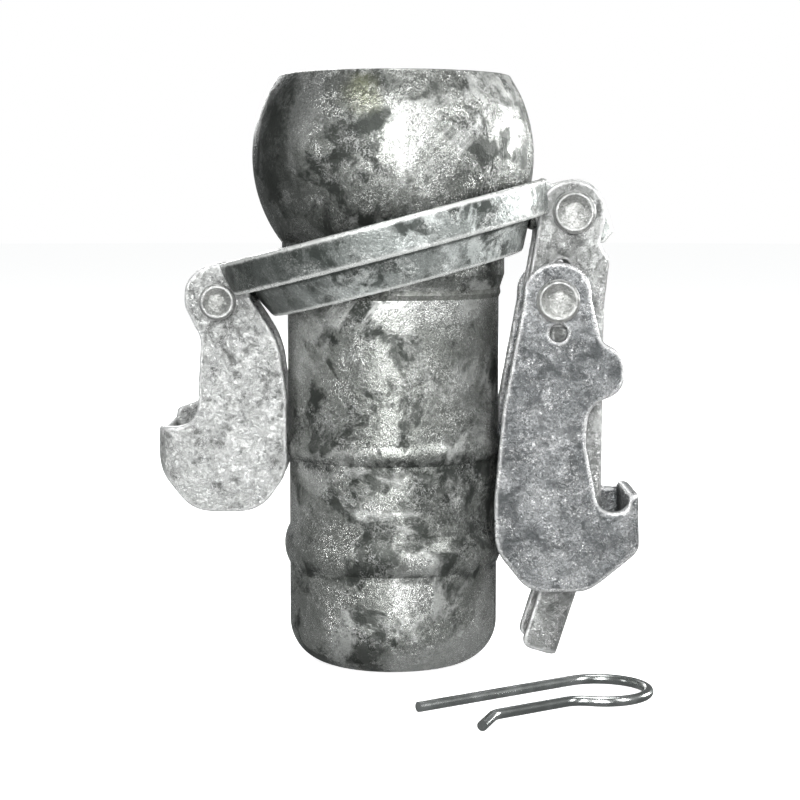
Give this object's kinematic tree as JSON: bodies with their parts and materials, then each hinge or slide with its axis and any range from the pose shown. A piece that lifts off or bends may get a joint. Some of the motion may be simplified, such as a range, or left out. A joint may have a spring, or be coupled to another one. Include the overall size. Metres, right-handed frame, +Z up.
{
  "type": "lever-lock ball hose coupling, male half",
  "caption": "Male half of a lever-lock ball coupling: hollow ball end on a beaded hose shank, loose closure ring with a claw hook and a lever hook, and a hairpin safety pin.",
  "frame": {"origin": "on the pipe axis at the bottom end of the hose shank, which stands on the floor", "axes": "+Z up along the pipe axis towards the ball, +X towards the lever side, -X towards the claw hook, -Y towards the side where the safety pin lies"},
  "size_m": [0.1741, 0.1691, 0.2136],
  "materials": {
    "galvanised_body": "hot-dip galvanised, mottled dark grey",
    "galvanised_ring": "hot-dip galvanised, mottled",
    "galvanised_sheet": "hot-dip galvanised, bright spangle",
    "weld": "rough galvanised weld bead",
    "rivet_steel": "matt zinc",
    "plated_wire": "smooth bright zinc plate"
  },
  "bodies": {
    "coupling_body": {"ball_end": "galvanised_body", "hose_shank": "galvanised_body", "neck_weld": "galvanised_body"},
    "closure_ring": {"closure_ring": "galvanised_ring", "hook_lug": "galvanised_ring", "lever_lug": "galvanised_ring", "hook_lug_top_weld": "weld", "hook_lug_toe_weld": "weld", "lever_lug_top_weld": "weld", "lever_lug_toe_weld": "weld"},
    "claw_hook": {"claw_hook": "galvanised_sheet", "hook_rivet": "rivet_steel"},
    "lever": {"lever": "galvanised_sheet", "lever_rivet": "rivet_steel", "spacer_sleeve": "rivet_steel"},
    "lever_hook": {"lever_hook": "galvanised_sheet", "lever_hook_rivet": "rivet_steel", "near_washer": "rivet_steel", "far_washer": "rivet_steel"},
    "safety_pin": {"safety_pin": "plated_wire"}
  },
  "joints": [
    {"name": "ring_swivel", "type": "hinge", "parent": "coupling_body", "child": "closure_ring", "pos_m": [0, 0, 0.16], "axis": [0, 0, 1], "continuous": true},
    {"name": "claw_hook_pivot", "type": "hinge", "parent": "closure_ring", "child": "claw_hook", "pos_m": [-0.06284, 0, 0.13273], "axis": [0, 1, 0], "range_deg": [0, 145]},
    {"name": "lever_pivot", "type": "hinge", "parent": "closure_ring", "child": "lever", "pos_m": [0.06482, 0, 0.16472], "axis": [0, -1, 0], "range_deg": [0, 75]},
    {"name": "lever_hook_pivot", "type": "hinge", "parent": "lever", "child": "lever_hook", "pos_m": [0.05872, 0, 0.13332], "axis": [0, -1, 0], "range_deg": [0, 115]},
    {"name": "pin_lift", "type": "slide", "parent": "coupling_body", "child": "safety_pin", "axis": [0, 0, 1], "range_m": [0, 0.06]}
  ]
}
